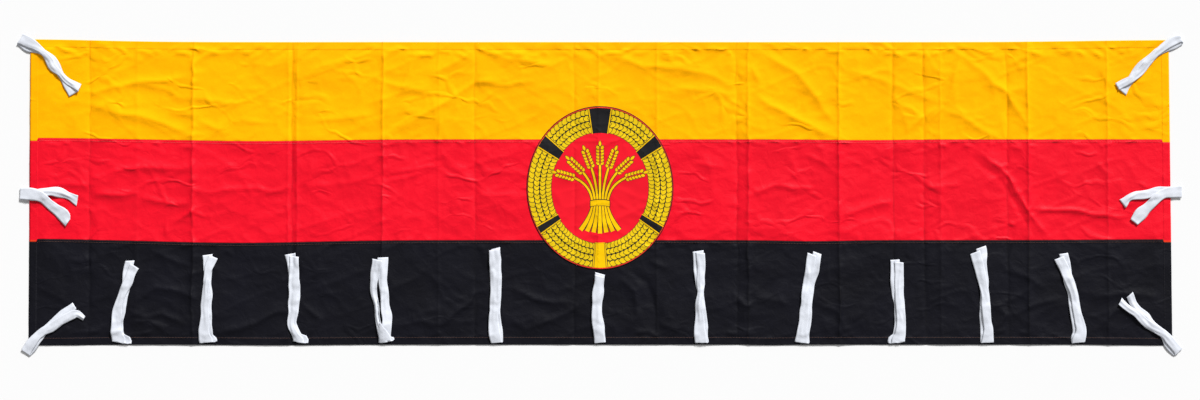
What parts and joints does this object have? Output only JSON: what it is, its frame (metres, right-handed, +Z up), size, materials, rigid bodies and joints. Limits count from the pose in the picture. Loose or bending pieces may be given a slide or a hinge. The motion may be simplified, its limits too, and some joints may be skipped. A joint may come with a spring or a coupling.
{
  "type": "long three-stripe flag banner with tie tapes, spread out flat",
  "caption": "Long horizontal flag banner of gold, red and black stripes lying flat, with an oval wheat-sheaf medallion and doubled tie tapes along the lower hem, corners and sides.",
  "frame": {"origin": "on the surface the cloth lies on, under the middle of the whole outline, tie tapes included", "axes": "+X along the length, +Y across the width from the black stripe to the gold one, +Z up out of the face of the cloth"},
  "size_m": [3.065, 0.8454, 0.0092],
  "materials": {
    "gold_cloth": "matte woven flag cloth, golden yellow",
    "red_cloth": "matte woven flag cloth, bright red",
    "black_cloth": "matte woven flag cloth, black",
    "printed_patch": "printed flag cloth patch, gold figures with dark outlines on red",
    "white_tape": "white cotton twill tape"
  },
  "bodies": {
    "root": {"panel_gold": "gold_cloth", "panel_red": "red_cloth", "panel_black": "black_cloth", "medallion": "printed_patch", "tie_hem_01": "white_tape", "tie_hem_02": "white_tape", "tie_hem_03": "white_tape", "tie_hem_04": "white_tape", "tie_hem_05": "white_tape", "tie_hem_06": "white_tape", "tie_hem_07": "white_tape", "tie_hem_08": "white_tape", "tie_hem_09": "white_tape", "tie_hem_10": "white_tape", "tie_hem_11": "white_tape", "tie_top_left": "white_tape", "tie_top_right": "white_tape", "tie_mid_left": "white_tape", "tie_mid_right": "white_tape", "tie_bottom_left": "white_tape", "tie_bottom_right": "white_tape"}
  },
  "joints": []
}
